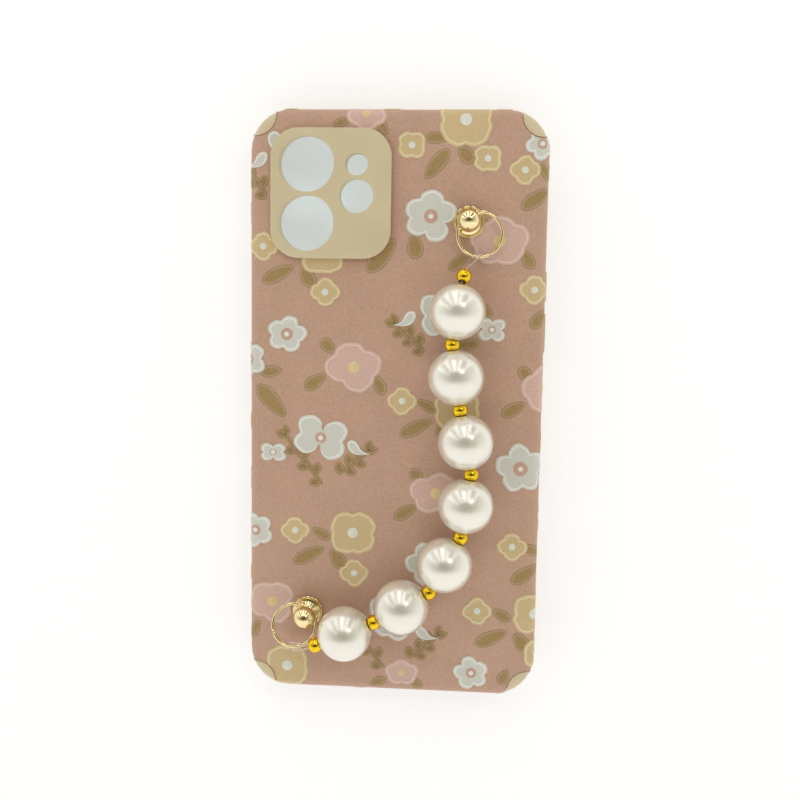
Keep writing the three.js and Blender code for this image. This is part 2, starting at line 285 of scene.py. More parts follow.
def lathe(name, profile, sides, place):
    """Turns a profile of (radius, height) in mm, which starts and ends on the axis, and places it."""
    points = []
    rows = []
    for radius, height in profile:
        if radius < 1e-6:
            rows.append([len(points)] * sides)
            points.append(Vector((0, 0, height)))
            continue
        rows.append(list(range(len(points), len(points) + sides)))
        for i in range(sides):
            angle = 2 * math.pi * i / sides
            points.append(Vector((radius * math.cos(angle), radius * math.sin(angle), height)))
    faces = []
    for low, high in zip(rows, rows[1:]):
        for i in range(sides):
            j = (i + 1) % sides
            faces.append(list(dict.fromkeys((low[i], low[j], high[j], high[i]))))
    mesh = mesh_from(name, [place @ (point * MM) for point in points], faces)
    smooth(mesh)
    return mesh


def arc(radius, start, end, steps, centre=(0, 0)):
    """Profile points along an arc, in degrees from the outward direction."""
    points = []
    for i in range(steps + 1):
        angle = math.radians(start + (end - start) * i / steps)
        points.append((centre[0] + radius * math.cos(angle), centre[1] + radius * math.sin(angle)))
    return points


def sweep(points, radii, sides):
    """Vertices and faces of a closed round tube along points, in mm, with a radius at each."""
    vertices = []
    faces = []
    side = None
    for i, point in enumerate(points):
        along = (points[min(i + 1, len(points) - 1)] - points[max(i - 1, 0)]).normalized()
        if side is None:
            side = along.orthogonal()
        side = (side - along * side.dot(along)).normalized()
        other = along.cross(side)
        for k in range(sides):
            angle = 2 * math.pi * k / sides
            offset = side * math.cos(angle) + other * math.sin(angle)
            vertices.append((point + offset * radii[i]) * MM)
    for i in range(len(points) - 1):
        for k in range(sides):
            a = i * sides + k
            b = i * sides + (k + 1) % sides
            faces.append((a, b, b + sides, a + sides))
    last = (len(points) - 1) * sides
    faces.append(tuple(reversed(range(sides))))
    faces.append(tuple(range(last, last + sides)))
    return vertices, faces


WELD = 0.001  # mm: CAD vertices nearer than this are one
COPLANAR_DEGREES = 1
CRISP_DEGREES = 60  # edges that turn more than this are rounded


def softened(node, edge, sharp_degrees=35):
    """A copy of a CAD node's mesh with its coplanar triangles joined and its crisp edges rounded."""
    mesh = frame["nodes"][node].data.copy()
    mesh.materials.clear()
    shape = bmesh.new()
    shape.from_mesh(mesh)
    bmesh.ops.remove_doubles(shape, verts=shape.verts, dist=WELD * MM)
    bmesh.ops.dissolve_limit(
        shape, angle_limit=math.radians(COPLANAR_DEGREES), verts=shape.verts, edges=shape.edges,
    )
    crisp = [
        e for e in shape.edges
        if len(e.link_faces) == 2 and e.calc_face_angle_signed(0) > math.radians(CRISP_DEGREES)
    ]
    bmesh.ops.bevel(
        shape, geom=crisp, offset=edge * MM, segments=2, profile=0.5, affect="EDGES",
        clamp_overlap=True,
    )
    clean = bpy.data.meshes.new(node + "_soft")
    shape.to_mesh(clean)
    shape.free()
    smooth(clean, sharp_degrees)
    return clean


# ---- The case: moulding, leather, plate, buttons and screws ----
MOULDING_EDGE = 0.15  # how far each piece's crisp edges are rounded, in mm
LEATHER_EDGE = 0.12
BUTTON_EDGE = 0.25
SCREW_EDGE = 0.05

add_piece(
    "bumper", softened("bumper_shell", MOULDING_EDGE), [cream], CASE_BODY,
    ["bumper_shell"],
)
add_piece(
    "leather_back", softened("leather_cover", LEATHER_EDGE), [leather_pink], CASE_BODY,
    ["leather_cover"],
)
for body in ("volume_up", "volume_down", "power"):
    button = body + "_button"
    add_piece(button + "_cap", softened(button, BUTTON_EDGE), [cream], body, [button])
for screw in ("back_screw_upper", "back_screw_lower"):
    head = softened(screw, SCREW_EDGE)
    add_piece(screw + "_head", head, [pale_gold], CASE_BODY, [screw])


def rounded_outline(centre, half_width, half_length, radius, turns=24):
    """The points of a rounded rectangle, counter-clockwise, with turns steps to each corner."""
    points = []
    for quarter, (sx, sy) in enumerate(((1, 1), (-1, 1), (-1, -1), (1, -1))):
        corner = centre + Vector((sx * (half_width - radius), sy * (half_length - radius)))
        for i in range(turns + 1):
            angle = math.pi / 2 * (quarter + i / turns)
            points.append(corner + radius * Vector((math.cos(angle), math.sin(angle))))
    return points


def circle_outline(centre, radius, turns=96):
    return [
        centre + radius * Vector((math.cos(2 * math.pi * i / turns), math.sin(2 * math.pi * i / turns)))
        for i in range(turns)
    ]


def filled_outlines(name, outlines, low, high, edge):
    """A flat solid between two heights, in mm, whose first outline is its rim and the rest holes.
    All its edges are rounded by edge."""
    data = bpy.data.curves.new(name, "CURVE")
    data.dimensions = "2D"
    data.fill_mode = "BOTH"
    data.extrude = ((high - low) / 2 - edge) * MM
    data.bevel_depth = edge * MM
    data.offset = -edge * MM
    data.bevel_resolution = 3
    for outline in outlines:
        spline = data.splines.new("POLY")
        spline.points.add(len(outline) - 1)
        for target, point in zip(spline.points, outline):
            target.co = (*(point * MM), 0, 1)
        spline.use_cyclic_u = True
    curve = bpy.data.objects.new(name, data)
    mesh = bpy.data.meshes.new_from_object(curve)
    bpy.data.objects.remove(curve)
    mesh.transform(Matrix.Translation((0, 0, (low + high) / 2 * MM)))
    return mesh


CAMERA_HOLES = [(-23, 61.7, 7), (-23, 46.95, 7), (-10.3, 53.8, 4.3), (-10.3, 61.6, 2.8)]  # x, y, radius
PLATE_RADIUS = 7.2
PLATE_EDGE = 0.22
PLATE_STEM_INSET = 1
PLATE_STEM_EDGE = 0.02
PLATE_FLANGE_LOW = 11.55  # the flange's underside
STEM_OVERLAP = 0.25  # how far the stem runs up into the flange


def camera_plate():
    """The plate's flange and the stem under it, both pierced by the four camera holes."""
    low, high = corners("camera_plate")
    centre = ((low + high) / 2).to_2d()
    half = ((high - low) / 2).to_2d()
    holes = [circle_outline(Vector((x, y)), radius) for x, y, radius in CAMERA_HOLES]
    rim = rounded_outline(centre, half.x, half.y, PLATE_RADIUS)
    inner = rounded_outline(
        centre, half.x - PLATE_STEM_INSET, half.y - PLATE_STEM_INSET,
        PLATE_RADIUS - PLATE_STEM_INSET,
    )
    stem_top = PLATE_FLANGE_LOW + STEM_OVERLAP
    flange = filled_outlines("flange", [rim, *holes], PLATE_FLANGE_LOW, high.z, PLATE_EDGE)
    stem = filled_outlines("stem", [inner, *holes], low.z, stem_top, PLATE_STEM_EDGE)
    both = bmesh.new()
    both.from_mesh(flange)
    both.from_mesh(stem)
    mesh = bpy.data.meshes.new("lens_plate")
    bmesh.ops.remove_doubles(both, verts=both.verts, dist=0.0005 * MM)
    both.to_mesh(mesh)
    both.free()
    smooth(mesh, 30)
    add_piece("lens_plate", mesh, [cream], CASE_BODY, ["camera_plate"])


camera_plate()

# ---- The printed pattern ----
BACK_LOW, BACK_HIGH = corners("leather_cover")
HALF_WIDTH = BACK_HIGH.x
HALF_LENGTH = BACK_HIGH.y
TOP = BACK_HIGH.z
CORNER = 10.4  # outline's corner radius
EDGE = 2.2  # rounding between the back and the sides
PRINT_MARGIN = 0.3  # the print stops this short of the leather's lower edge
DROP = EDGE * math.pi / 2 + TOP - EDGE - BACK_LOW.z - PRINT_MARGIN  # leather past the back's flat
NOTCH_RADIUS = 5.6
NOTCH_INSET = 1.6
NOTCH_AT = (HALF_WIDTH - NOTCH_INSET, HALF_LENGTH - NOTCH_INSET)
SIDE_HOLE_Z = 5.2
SIDE_HOLES = [  # side, middle along Y, half length, half height
    (1, 31.9, 4.3, 1.9), (1, 19.9, 5.6, 1.9), (1, 45.5, 4.2, 2.5), (-1, 26, 6, 1.9),
]
END_HOLES = [(0, 6.9, 3.2), (-19, 6.9, 1.6), (19, 6.9, 1.6)]  # middle along X, half length and height
NEAR_FACE = 1  # a point this near a side's face is over that side's holes
STUD_HOLE = 2.2
PLATE_LOW, PLATE_HIGH = corners("camera_plate")
PLATE_INSET = 0.7  # the print runs this far in under the plate
PLATE_CORNER = 6.5


def outward(x, y):
    """How far (x, y) on the flat leather lies outside the back's flat, and the way straight out."""
    past_x = abs(x) - (HALF_WIDTH - CORNER)
    past_y = abs(y) - (HALF_LENGTH - CORNER)
    flat = CORNER - EDGE
    if past_x > 0 and past_y > 0:
        reach = math.hypot(past_x, past_y)
        return reach - flat, Vector((math.copysign(past_x, x), math.copysign(past_y, y))) / reach
    if past_x > past_y:
        return past_x - flat, Vector((math.copysign(1, x), 0))
    return past_y - flat, Vector((0, math.copysign(1, y)))


def drape(x, y, height):
    """Where (x, y) on the flat leather comes to lie on the case, raised by height."""
    distance, out = outward(x, y)
    if distance <= 0:
        return Vector((x, y, TOP + height))
    turn = min(distance / EDGE, math.pi / 2)
    down = max(distance - EDGE * math.pi / 2, 0)
    place = Vector((x, y)) + out * ((EDGE + height) * math.sin(turn) - distance)
    return Vector((place.x, place.y, TOP - EDGE + (EDGE + height) * math.cos(turn) - down))


def in_window(x, y):
    """Whether a point lies in the window under the camera plate."""
    corner = PLATE_CORNER
    centre = (PLATE_LOW + PLATE_HIGH) / 2
    past_x = abs(x - centre.x) - ((PLATE_HIGH.x - PLATE_LOW.x) / 2 - PLATE_INSET - corner)
    past_y = abs(y - centre.y) - ((PLATE_HIGH.y - PLATE_LOW.y) / 2 - PLATE_INSET - corner)
    if past_x > 0 and past_y > 0:
        return math.hypot(past_x, past_y) < corner
    return max(past_x, past_y) < corner


STUDS_AT = [middle("stud_upper"), middle("stud_lower")]


def on_leather(x, y):
    """Whether leather lies at (x, y), clear of its edges and openings."""
    distance, _ = outward(x, y)
    if distance > DROP or in_window(x, y):
        return False
    place = drape(x, y, 0)
    if math.hypot(abs(place.x) - NOTCH_AT[0], abs(place.y) - NOTCH_AT[1]) < NOTCH_RADIUS:
        return False
    if any(math.hypot(x - stud.x, y - stud.y) < STUD_HOLE for stud in STUDS_AT):
        return False
    from_hole = abs(place.z - SIDE_HOLE_Z)
    for side, along, half, tall in SIDE_HOLES:
        at_side = place.x * side > HALF_WIDTH - NEAR_FACE
        if at_side and abs(place.y - along) < half and from_hole < tall:
            return False
    for along, half, tall in END_HOLES:
        at_end = place.y < NEAR_FACE - HALF_LENGTH
        if at_end and abs(place.x - along) < half and from_hole < tall:
            return False
    return True


def reach_on_leather(centre, tip, steps=14, halvings=5):
    """How much of the way from centre to tip is on leather, from 0 to 1."""
    clear_to = 0
    for i in range(1, steps + 1):
        if not on_leather(*centre.lerp(tip, i / steps)):
            break
        clear_to = i / steps
    if clear_to == 1:
        return 1
    blocked = clear_to + 1 / steps
    for _ in range(halvings):
        half = (clear_to + blocked) / 2
        if on_leather(*centre.lerp(tip, half)):
            clear_to = half
        else:
            blocked = half
    return clear_to


class Relief:
    """Printed shapes of one colour, gathered into one mesh: each has a margin, a raised line just
    inside its outline, and a fill. The raised line's lighter colour is a painted highlight."""

    MARGIN, LINE, FILL, CENTRE = range(4)

    def __init__(self):
        self.points = []
        self.faces = []
        self.slots = []

    def patch(self, outline, centre, bands, span=0.6):
        """outline(inset) gives the shape's points about centre. bands are rings from outside in:
        (inset, height, slot of the band up to the next ring). span is the widest step inside."""
        centre = Vector(centre)
        outer = outline(0)
        count = len(outer)
        limits = [reach_on_leather(centre, centre + tip) * tip.length for tip in outer]
        rings = [(outline(inset), height, slot) for inset, height, slot in bands]
        inner, height, slot = rings[-1]
        widest = max(tip.length for tip in inner)
        steps = max(int(widest / span), 1)
        for k in range(1, steps):
            share = 1 - k / steps
            rings.append(([tip * share for tip in inner], height, slot))
        first = len(self.points)
        for tips, height, _ in rings:
            for tip, limit in zip(tips, limits):
                held = tip * (limit / tip.length) if tip.length > limit else tip
                self.points.append(drape(*(centre + held), height) * MM)
        for k in range(len(rings) - 1):
            for i in range(count):
                j = (i + 1) % count
                a = first + k * count
                self.faces.append((a + i, a + j, a + count + j, a + count + i))
                self.slots.append(rings[k][2])
        self._cap(first, count, drape(*centre, rings[0][1]), self.MARGIN, flip=True)
        last = first + (len(rings) - 1) * count
        self._cap(last, count, drape(*centre, height), slot, flip=False)

    def _cap(self, first, count, centre, slot, flip):
        self.points.append(centre * MM)
        hub = len(self.points) - 1
        for i in range(count):
            j = (i + 1) % count
            face = (first + i, first + j, hub)
            self.faces.append(face[::-1] if flip else face)
            self.slots.append(slot)

    def finish(self, name, materials):
        mesh = mesh_from(name, self.points, self.faces)
        for polygon, slot in zip(mesh.polygons, self.slots):
            polygon.material_index = slot
        shape = bmesh.new()
        shape.from_mesh(mesh)
        bmesh.ops.dissolve_degenerate(shape, edges=shape.edges, dist=0.0005 * MM)
        shape.to_mesh(mesh)
        shape.free()
        smooth(mesh, 60)
        add_piece(name, mesh, materials, CASE_BODY)


BURIED = -0.12  # where a shape's underside lies, in the leather
LINE_IN = 0.72  # the raised line's distance inside the outline
SMALL_LINE_IN = 0.6  # the same on small flowers, loose petals, leaves and twigs
PETAL_LINE_IN = 0.45
LEAF_LINE_IN = 0.5
TWIG_LINE_IN = 0.42
LINE_HALF = 0.17  # half the line's width
LINE_LIFT = 0.07  # the line's height above the shape's level
LEAF_LIFT = 0.03
TWIG_LIFT = 0.02
LEVELS = {"leaf": 0.03, "twig": 0.04, "pink": 0.09, "yellow": 0.11, "white": 0.13}  # above the leather


def lined_bands(level, line_in=LINE_IN, lift=LINE_LIFT):
    """Rings for a shape that lies level above the leather, with its raised line and its fill."""
    margin, painted_highlight_line, fill = Relief.MARGIN, Relief.LINE, Relief.FILL
    return [
        (0, BURIED, margin),
        (0.02, level, margin),
        # the raised line: real relief, and its lighter material is a painted highlight
        (line_in - LINE_HALF - 0.05, level, painted_highlight_line),
        (line_in - LINE_HALF * 0.6, level + lift, painted_highlight_line),
        (line_in + LINE_HALF * 0.6, level + lift, painted_highlight_line),
        (line_in + LINE_HALF + 0.05, level - 0.02, fill),
    ]


draw = random.Random(7)


def flower_outline(radius, petals, depth, squash=1.0, points=84):
    """Round petals at the given turns, a little uneven. Their depth runs from 0, which is a disc,
    towards 1, where they only meet at the middle."""
    at = radius * depth
    size = radius - at
    angles = [math.radians(petal) for petal in petals]
    reaches = [at * draw.uniform(0.94, 1.04) for _ in angles]
    ripples = [(7, 0.016, draw.uniform(0, 6)), (12, 0.011, draw.uniform(0, 6))]

    def outline(inset):
        tips = []
        for i in range(points):
            angle = 2 * math.pi * i / points
            longest = at * 0.5
            for petal, reach in zip(angles, reaches):
                along = reach * math.cos(angle - petal)
                across = reach * math.sin(angle - petal)
                room = size ** 2 - across ** 2
                if room > 0:
                    longest = max(longest, along + math.sqrt(room))
            longest *= 1 + sum(swell * math.cos(n * angle + start) for n, swell, start in ripples)
            tip = Vector((longest * math.cos(angle), squash * longest * math.sin(angle)))
            tips.append(tip * max(1 - inset / tip.length, 0.05))
        return tips

    return outline


def evenly(petals, turn):
    """The turns of evenly set petals from turn onwards, each a little out of place."""
    return [turn + 360 * k / petals + draw.uniform(-5, 5) for k in range(petals)]


def leaf_outline(length, width, turn, bend=0.0, taper=0.18, points=44):
    """A leaf with a slightly wavy edge. Its tip points along turn, curls as bend grows and is
    sharper as taper grows."""
    spin = Matrix.Rotation(math.radians(turn), 2)

    def outline(inset):
        tips = []
        for i in range(points):
            angle = 2 * math.pi * i / points
            x = (length / 2 - inset) * math.cos(angle)
            y = (width / 2 - inset) * math.sin(angle) * abs(math.sin(angle / 2)) ** taper
            y *= 1 + 0.05 * math.cos(3 * angle)
            tips.append(spin @ Vector((x, y + bend * max(x, 0) ** 2 / length)))
        return tips

    return outline


def disc_outline(radius, points=28):
    """A plain circle."""
    def outline(inset):
        return [
            Vector((math.cos(2 * math.pi * i / points), math.sin(2 * math.pi * i / points)))
            * (radius - inset)
            for i in range(points)
        ]

    return outline


def dot(relief, centre, radius, level, bead):
    """A flower's eye: a low boss with a raised bead in the middle, of the material slot bead."""
    eye = Relief.CENTRE
    bands = [
        (0, BURIED, eye), (0.03, level + 0.02, eye), (0.25, level + 0.05, eye),
        (radius - 0.62, level + 0.04, bead), (radius - 0.5, level + 0.12, bead),
    ]
    relief.patch(disc_outline(radius), centre, bands)


# The layout on the back. Every x and y is a measured place in mm from the middle of the back.
# White flowers: x, y, radius, the petals' turns, squash along Y, radius of the eye
WHITE = [
    (8.5, 49, 6.9, (18, 87, 153, 215, 291), 0.95, 1.8), (-28, 18.7, 5.4, (5, 77, 149, 221, 293), 0.9, 1.6),
    (-38.2, 12, 4.9, (40, 112, 184, 256, 328), 1, 1.4), (32.7, -14.7, 6.5, (25, 97, 169, 241, 313), 1, 1.9),
    (-36.2, -33, 4.8, (40, 112, 184, 256, 328), 1, 1.4), (9.5, -40.5, 6, (180, 252, 324, 36, 108), 1, 1.8),
    (21.3, -69.5, 4.8, (30, 102, 174, 246, 318), 0.95, 1.4),
    (35.8, 67, 4.2, (190, 262, 334, 46, 118), 1, 1.3),
    (12.5, 24.5, 7, (150, 222, 294, 6, 78), 1, 2), (24.5, 20.8, 4.1, (42, 132, 222, 312), 0.85, 1),
    (-31.5, -12.1, 3.9, (40, 140, 220, 320), 0.76, 0.9), (-19, -8, 7.5, (24, 129, 200, -46), 0.9, 1.5),
    (1, -54.5, 7.2, (155, 225, 280, 350, 70), 1, 1.5),
]
# Large yellow flowers: x, y, radius, squash along Y, radius of the eye
YELLOW_LARGE = [
    (16.8, 72.8, 7.3, 1, 1.5), (-10.4, -32.9, 6.6, 0.95, 1.4), (16.2, 0.4, 6.4, 1, 1.4),
    (-27.6, -69.6, 6.3, 1, 1.4), (37.4, -53, 6, 1, 1.4), (-19, 38.5, 6.2, 0.75, 0),
    (38.6, -63.8, 4.2, 1, 1),
]
# Small yellow flowers: x, y, turn
YELLOW_SMALL = [
    (3.4, 66.5, 40), (22.4, 63.4, 48), (31.7, 60.6, 0), (-34.2, 41, 3), (-18.2, 29.6, 0), (34.9, 31, 0),
    (2, 2.1, 0), (-25.6, -32.7, 0), (-9.9, -43.7, 3), (31.1, -35.2, 0), (22.5, -52.7, 3),
]
# Pink flowers: x, y, radius, the petals' turns, squash along Y
PINK = [
    (-8, 74.2, 5.2, (270, 342, 54, 126, 198), 0.9), (25.8, 43, 7.9, (20, 88, 158, 232, 305), 0.82),
    (-10.6, 10.6, 7.6, (15, 105, 183, 288), 0.88), (39.6, 6, 7.8, (100, 172, 244, 316, 28), 0.8),
    (11, -21.8, 7, (160, 240, 325, 65), 0.82), (-31.6, -52.2, 7.1, (55, 130, 200, 290), 0.84),
    (3, -70.1, 4.7, (20, 92, 164, 236, 308), 0.78),
]
# Leaves: x, y, length, width, and the way the tip points
LEAVES = [
    (-14.3, 72, 4.5, 2.6, 20), (-3.8, 70.7, 4, 2.7, -60), (9.6, 68.3, 6.2, 3.2, 0),
    (9.8, 61.9, 9.4, 4.2, 232), (17, 64.2, 5.4, 4, 130), (37, 60.2, 5, 3, 130), (34.5, 53.5, 8.6, 4, 35),
    (4.6, 41.4, 6.4, 4.6, 95), (15.6, 37.6, 6, 3.2, 40), (33, 38.5, 5.3, 3.5, 120),
    (-30.4, 34, 9.2, 4, 27), (-22.6, 33.2, 5.8, 4, 125), (-3.9, 39, 11, 5, 50), (23, 25.6, 4.2, 2.7, 120),
    (18.7, 17, 5.5, 3.1, 190), (36.2, 23.6, 6, 3.6, 50), (-17.4, 15.9, 4.6, 3.6, -50),
    (-20.6, 6.6, 6.8, 3.8, 35), (-3.9, 6, 5.4, 3.6, 115), (-32.1, 9, 5.8, 3.4, 10),
    (-32, 1.4, 11, 4.8, -48), (8.4, 1, 5.7, 3.1, 150), (5.6, -4.8, 9.2, 4, 27), (12.3, -4.8, 5, 3, 75),
    (33.3, 9.6, 4.9, 3.6, -50), (30.4, 0.6, 6.8, 3.7, 30), (6.1, -17.3, 4.6, 3.5, -55),
    (3.2, -27, 6.8, 3.7, 33), (-18.7, -33.4, 5.6, 3, 150), (-22, -39.3, 9.2, 4, 27),
    (-14.3, -40.1, 6.2, 4.2, 125), (36.3, -35.9, 5, 3, 150), (34.5, -42.5, 8.4, 4, 35),
    (-36.6, -60, 5.6, 3.4, 60), (29, -53.6, 5.4, 3.2, 150), (26.3, -59.8, 9.2, 4.1, 25),
    (34.1, -60.6, 5.8, 4.2, 125), (-3.3, -73, 4.6, 2.8, 205), (6.9, -73, 4, 3, 130),
    (29.8, -70.3, 4.6, 3.2, 60),
]
# Loose petals: x, y, length, width, way the tail points, how it curls, and how sharp its tail is
PETALS = [
    (-35.2, 62, 6, 3.4, -125, -1.6, 0.9), (3, 22.6, 6, 3.4, -125, -1.6, 0.9),
    (-9.8, -11, 6, 3.4, -52, 1.6, 0.9), (8.8, -59.8, 6, 3.4, -48, 1.6, 0.9),
    (-22.6, 69.6, 5.2, 4, 0, 0, 0), (-31, 67.4, 4.8, 4, 120, 0, 0),
]
# Twigs: from the heart at the end to the tail, and how many leaflets
TWIGS = [
    (-28.8, -6.8, -18.2, -20.6, 5), (-6, -10.4, -14.2, -17.6, 5), (-0.9, 22.6, 7.7, 15, 5),
    (-37.8, 59.2, -33.2, 54.2, 3), (-11.8, -56.6, -1.5, -69.2, 5), (13, -59, 4.9, -66.4, 5),
]
# The pattern runs on down the sides, with motifs SIDE_OUT mm out from the back's flat
SIDE_OUT = 6.2
SIDE_FLOWERS = [(-1, 50), (-1, -4), (-1, -19), (1, -8), (1, -28), (-1, -45), (1, 62)]  # side, y
SIDE_LEAVES = [  # side, y, and the way the tip points
    (-1, 60, 70), (-1, 30, 110), (-1, 4, 60), (-1, -28, 100), (1, -20, 120), (1, -42.5, 60),
]
END_FLOWERS = [(-28, 1), (-2, 1), (26, 1), (-8, -1), (30, -1)]  # x, end

SMALL_RADIUS = 4  # small yellow flowers
SMALL_SQUASH = 0.94
SMALL_EYE = 0.9
SMALL_TURN = 10  # their turn on the sides and ends
SIDE_WHITE_RADIUS = 4.2
SIDE_WHITE_TURN = 12
SIDE_WHITE_EYE = 1.2
SIDE_LEAF = (7, 3.6)  # length and width
PINK_EYE = 0.2  # of the flower's radius
# How deep the gaps between the petals are, as flower_outline takes it
WHITE_DEPTH = 0.57
SIDE_WHITE_DEPTH = 0.58
YELLOW_DEPTH = 0.36
SMALL_DEPTH = 0.42
PINK_DEPTH = 0.44


def on_side(side, y):
    """The place of a motif on the long side towards side."""
    return side * (HALF_WIDTH - EDGE + SIDE_OUT), y


def on_end(x, end):
    """The place of a motif on the short side towards end."""
    return x, end * (HALF_LENGTH - EDGE + SIDE_OUT)


def print_white():
    """The white flowers, the loose petals, and every other flower of the sides."""
    relief = Relief()
    level = LEVELS["white"]
    for x, y, radius, petals, squash, eye in WHITE:
        flower = flower_outline(radius, petals, WHITE_DEPTH, squash)
        relief.patch(flower, (x, y), lined_bands(level))
        # the eye's raised bead takes the line's lighter colour: a painted highlight
        dot(relief, (x, y), eye, level, Relief.LINE)
    for x, y, length, width, turn, curl, taper in PETALS:
        petal = leaf_outline(length, width, turn, curl, taper)
        relief.patch(petal, (x, y), lined_bands(level, PETAL_LINE_IN))
    for side, y in SIDE_FLOWERS[::2]:
        place = on_side(side, y)
        petals = evenly(5, SIDE_WHITE_TURN)
        flower = flower_outline(SIDE_WHITE_RADIUS, petals, SIDE_WHITE_DEPTH)
        relief.patch(flower, place, lined_bands(level, SMALL_LINE_IN))
        # the eye's raised bead takes the line's lighter colour: a painted highlight
        dot(relief, place, SIDE_WHITE_EYE, level, Relief.LINE)
    relief.finish("white_prints", print_materials("white"))


def print_yellow():
    """The large and the small yellow flowers, and the rest of the flowers of the sides and ends."""
    relief = Relief()
    level = LEVELS["yellow"]
    for x, y, radius, squash, eye in YELLOW_LARGE:
        flower = flower_outline(radius, evenly(4, 45), YELLOW_DEPTH, squash)
        relief.patch(flower, (x, y), lined_bands(level))
        if eye:
            dot(relief, (x, y), eye, level, Relief.CENTRE)
    small = [((x, y), turn) for x, y, turn in YELLOW_SMALL]
    small += [(on_side(side, y), SMALL_TURN) for side, y in SIDE_FLOWERS[1::2]]
    small += [(on_end(x, end), SMALL_TURN) for x, end in END_FLOWERS]
    for place, turn in small:
        flower = flower_outline(SMALL_RADIUS, evenly(4, turn), SMALL_DEPTH, SMALL_SQUASH)
        relief.patch(flower, place, lined_bands(level, SMALL_LINE_IN))
        dot(relief, place, SMALL_EYE, level, Relief.CENTRE)
    relief.finish("yellow_prints", print_materials("yellow"))


def print_pink():
    relief = Relief()
    level = LEVELS["pink"]
    for x, y, radius, petals, squash in PINK:
        flower = flower_outline(radius, petals, PINK_DEPTH, squash)
        relief.patch(flower, (x, y), lined_bands(level))
        dot(relief, (x, y), radius * PINK_EYE, level, Relief.CENTRE)
    relief.finish("pink_prints", print_materials("pink"))


def print_leaves():
    relief = Relief()
    bands = lined_bands(LEVELS["leaf"], LEAF_LINE_IN, LEAF_LIFT)
    for x, y, length, width, turn in LEAVES:
        relief.patch(leaf_outline(length, width, turn), (x, y), bands)
    for side, y, turn in SIDE_LEAVES:
        relief.patch(leaf_outline(*SIDE_LEAF, turn), on_side(side, y), bands)
    relief.finish("leaf_prints", print_materials("leaf"))


STEM_WIDTH = 1.8
HEAD_LEAFLET = (3, 2.4)  # length and width
HEAD_OUT = 0.75  # from the stem's middle line to a leaflet's middle
HEAD_SPREAD = 25  # degrees from the stem's line
LEAFLET = (3.2, 2.8)
LEAFLET_OUT = 1.35
LEAFLET_SPREAD = 60
FIRST_LEAFLET = 0.28  # of the way from head to tail
LEAFLET_RUN = 0.6


def print_twigs():
    """Each twig is a stem with round leaflets on alternate sides and a pair of them at its head."""
    relief = Relief()
    bands = lined_bands(LEVELS["twig"], TWIG_LINE_IN, TWIG_LIFT)
    for x0, y0, x1, y1, leaflets in TWIGS:
        head = Vector((x0, y0))
        tail = Vector((x1, y1))
        stem = tail - head
        turn = math.degrees(math.atan2(stem.y, stem.x))
        length = stem.length
        across = Vector((-stem.y, stem.x)) / length
        relief.patch(leaf_outline(length, STEM_WIDTH, turn), head.lerp(tail, 0.5), bands)
        for side in (-1, 1):
            place = head + across * side * HEAD_OUT
            leaflet = leaf_outline(*HEAD_LEAFLET, turn + 180 - side * HEAD_SPREAD)
            relief.patch(leaflet, place, bands)
        for k in range(leaflets):
            side = 1 if k % 2 else -1
            share = FIRST_LEAFLET + LEAFLET_RUN * k / (leaflets - 1)
            place = head.lerp(tail, share) + across * side * LEAFLET_OUT
            leaflet = leaf_outline(*LEAFLET, turn + 180 - side * LEAFLET_SPREAD)
            relief.patch(leaflet, place, bands)
    relief.finish("twig_prints", print_materials("twig"))


PRINT_ROUGHNESS = 0.5


def print_materials(colour):
    """One printed colour's materials, in the order of Relief's slots."""
    # the line's material is lighter than the fill: a painted highlight on the raised line
    names = ("margin", "painted_highlight_line", "fill")
    materials = [
        leather(f"print_{colour}_{name}", tone, PRINT_ROUGHNESS)
        for name, tone in zip(names, PRINT_COLOURS[colour])
    ]
    if colour in CENTRE_COLOURS:
        centre = leather(f"print_{colour}_centre", CENTRE_COLOURS[colour], PRINT_ROUGHNESS)
        materials.append(centre)
    return materials


print_leaves()
print_twigs()
print_pink()
print_yellow()
print_white()


# ---- Bare corners: a rounded lip along each notch ----
LIP_RADIUS = 5.02  # of the arc that the lip follows
LIP_BEAD = 0.2  # half the lip's thickness
LIP_SINK = 0.4  # how much of LIP_BEAD the lip's middle lies below the surface
LIP_TURN = 75  # degrees of arc each way from the inward diagonal
LIP_STEPS = 40


def corner_lips():
    """A thin rounded bead on the moulding along the arc of each corner notch."""
    vertices = []
    faces = []
    for sx in (-1, 1):
        for sy in (-1, 1):
            centre = Vector((sx * NOTCH_AT[0], sy * NOTCH_AT[1]))
            toward = math.atan2(-sy, -sx)
            points = []
            for i in range(-LIP_STEPS, LIP_STEPS + 1):
                angle = toward + math.radians(LIP_TURN) * i / LIP_STEPS
                x = centre.x + LIP_RADIUS * math.cos(angle)
                y = centre.y + LIP_RADIUS * math.sin(angle)
                distance, _ = outward(x, y)
                if distance < EDGE - 0.02:
                    drop = EDGE - math.sqrt(EDGE ** 2 - max(distance, 0) ** 2)
                    points.append(Vector((x, y, TOP - drop - LIP_BEAD * LIP_SINK)))
            tube, quads = sweep(points, [LIP_BEAD] * len(points), 10)
            faces += [tuple(len(vertices) + k for k in quad) for quad in quads]
            vertices += tube
    mesh = mesh_from("corner_lips", vertices, faces)
    smooth(mesh)
    add_piece("corner_lips", mesh, [cream], CASE_BODY)


corner_lips()

# ---- Studs ----
STUD_BALL = 2.85
STUD_BASE = 4
STUD_NECK = 0.75
STUD_HEIGHT = 8.3  # from the underside of the base
STUD_BALL_AT = STUD_HEIGHT - STUD_BALL
STUD_POST = 1.8
STUD_BORE = 0.95
STUD_BORE_TOP = 1.15
STUD_RIM = 0.25  # radius of the base's rounded rim
STUD_RIM_AT = 0.3
STUD_DISH = [(3.55, 0.47), (3.35, 0.42), (3.15, 0.44), (2.6, 0.72), (2.0, 1.02), (1.5, 1.27)]
STUD_CONE = [(1.2, 1.45), (0.9, 1.68), (STUD_NECK, 1.95), (STUD_NECK, 2.4)]


